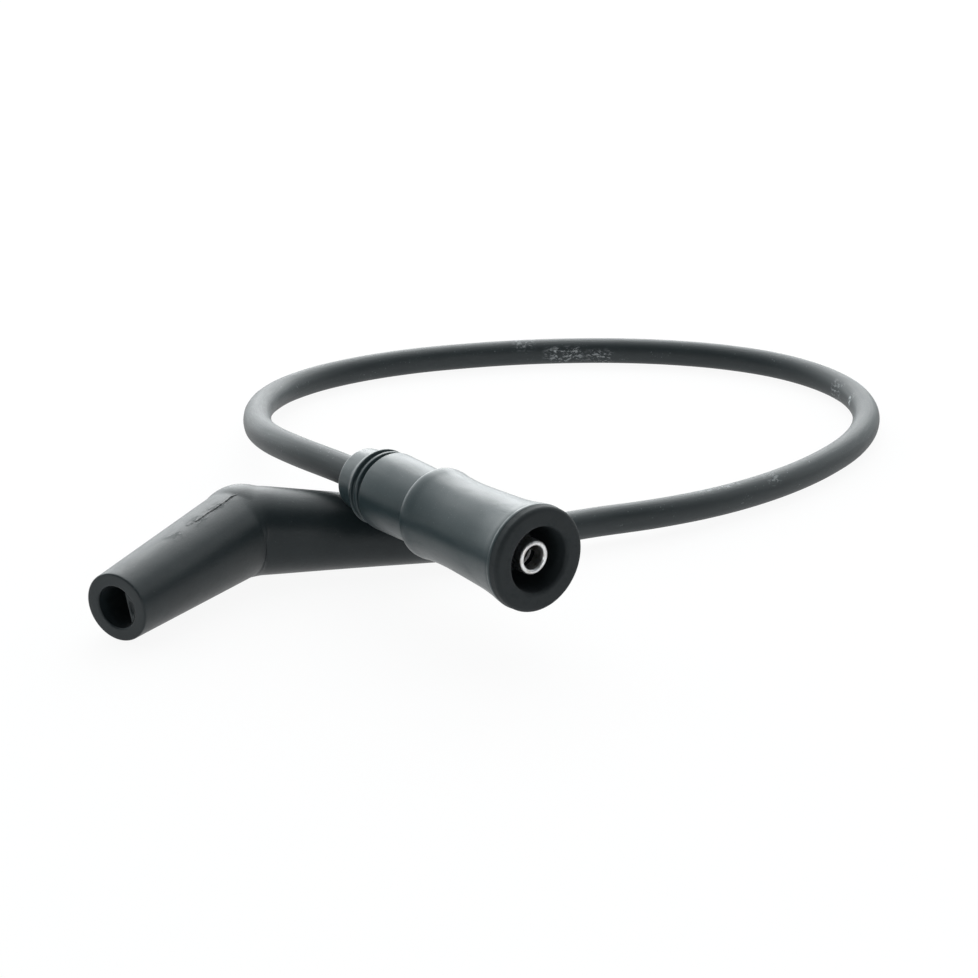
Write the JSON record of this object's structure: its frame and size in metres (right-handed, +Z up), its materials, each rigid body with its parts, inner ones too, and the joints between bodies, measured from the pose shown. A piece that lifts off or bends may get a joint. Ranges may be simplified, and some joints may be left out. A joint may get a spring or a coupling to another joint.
{
  "type": "spark plug wire",
  "caption": "Looped black ignition cable with a straight ribbed rubber boot at the coil end and an angled rubber boot at the plug end, each with a metal terminal inside.",
  "frame": {"origin": "centre of the two boots' bounding box, on the surface that the lead lies on; the free cable isn't counted", "axes": "+Z up from the surface; +X along the straight boot, from its cable end to its mouth; +Y across it, towards the cable's loop"},
  "size_m": [0.1832, 0.2468, 0.0344],
  "materials": {
    "cable_jacket": "matt with faint powdery marks",
    "straight_boot_rubber": "smooth, half gloss, with a matt mouth",
    "elbow_boot_rubber": "matt, with a rough mould line",
    "terminal_metal": "bright plated",
    "spring_wire": "satin",
    "conductor_core": "matt black impregnated fibre"
  },
  "bodies": {
    "root": {"ignition_cable": "cable_jacket", "straight_boot": "straight_boot_rubber", "straight_terminal": "terminal_metal", "straight_spring_clip": "spring_wire", "straight_core_end": "conductor_core", "elbow_boot": "elbow_boot_rubber", "elbow_terminal": "terminal_metal", "elbow_spring_clip": "spring_wire", "elbow_core_end": "conductor_core"}
  },
  "joints": []
}
